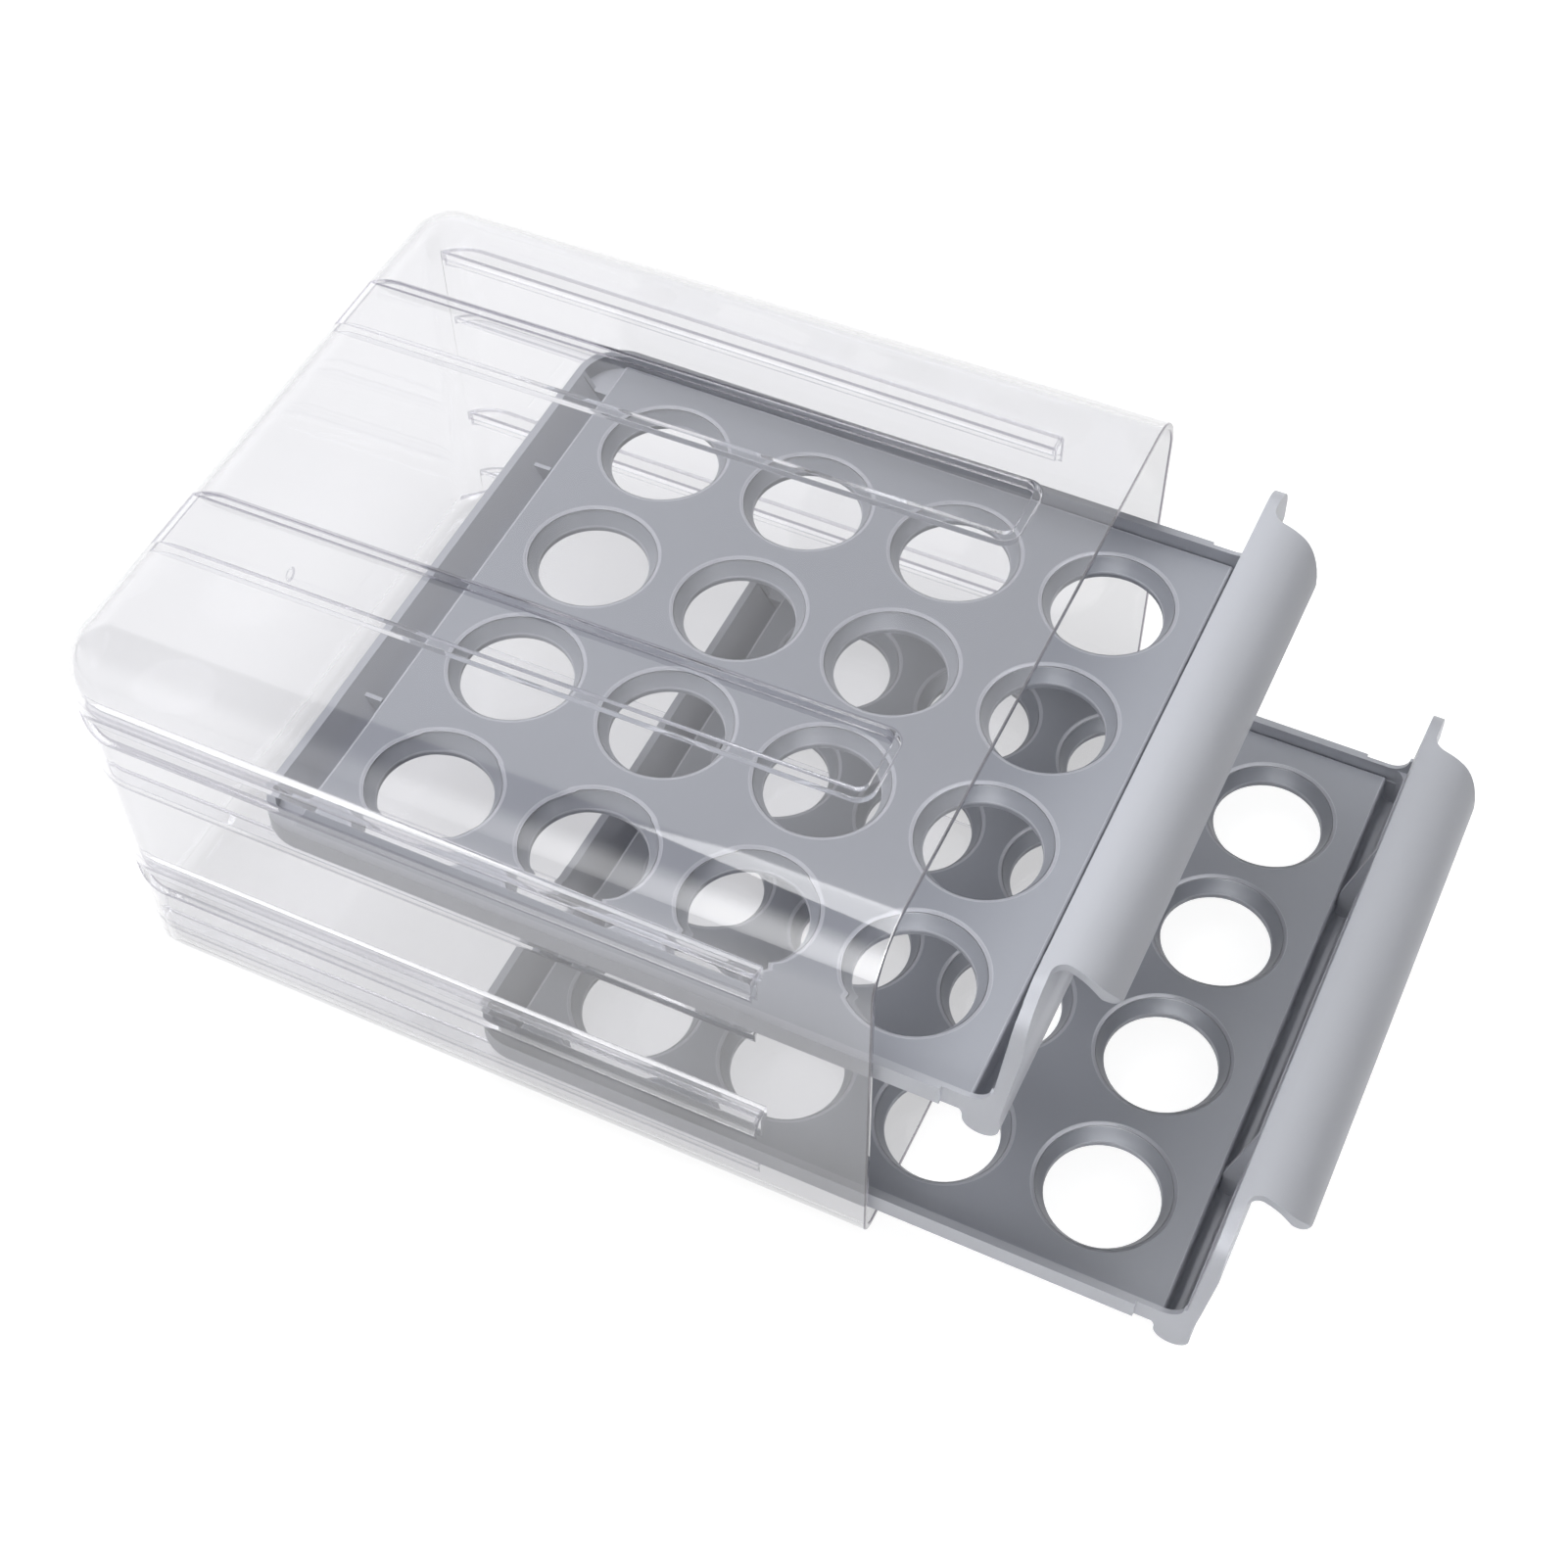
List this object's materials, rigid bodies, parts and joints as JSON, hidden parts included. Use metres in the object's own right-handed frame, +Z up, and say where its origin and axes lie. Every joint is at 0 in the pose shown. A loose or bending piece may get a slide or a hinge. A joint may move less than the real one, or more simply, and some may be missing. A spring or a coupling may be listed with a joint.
{
  "type": "egg storage drawer",
  "caption": "Clear two-tier storage casing with two pull-out trays, each with a grid of open egg cups and a curled front pull.",
  "frame": {"origin": "on the ground under the middle of the bounding box, with the trays drawn out as pictured", "axes": "+Z up, +Y toward the closed back of the casing, +X to the right seen from the open front"},
  "size_m": [0.2116, 0.3588, 0.14],
  "materials": {
    "clear_plastic": "gloss",
    "tray_plastic": "satin",
    "plate_plastic": "satin"
  },
  "bodies": {
    "casing": {"casing": "clear_plastic"},
    "upper_tray": {"upper_frame": "tray_plastic", "upper_egg_plate": "plate_plastic"},
    "lower_tray": {"lower_frame": "tray_plastic", "lower_egg_plate": "plate_plastic"}
  },
  "joints": [
    {"name": "upper_slide", "type": "slide", "parent": "casing", "child": "upper_tray", "axis": [0, -1, 0], "range_m": [-0.0515, 0.1035]},
    {"name": "lower_slide", "type": "slide", "parent": "casing", "child": "lower_tray", "axis": [0, -1, 0], "range_m": [-0.111, 0.044]}
  ]
}
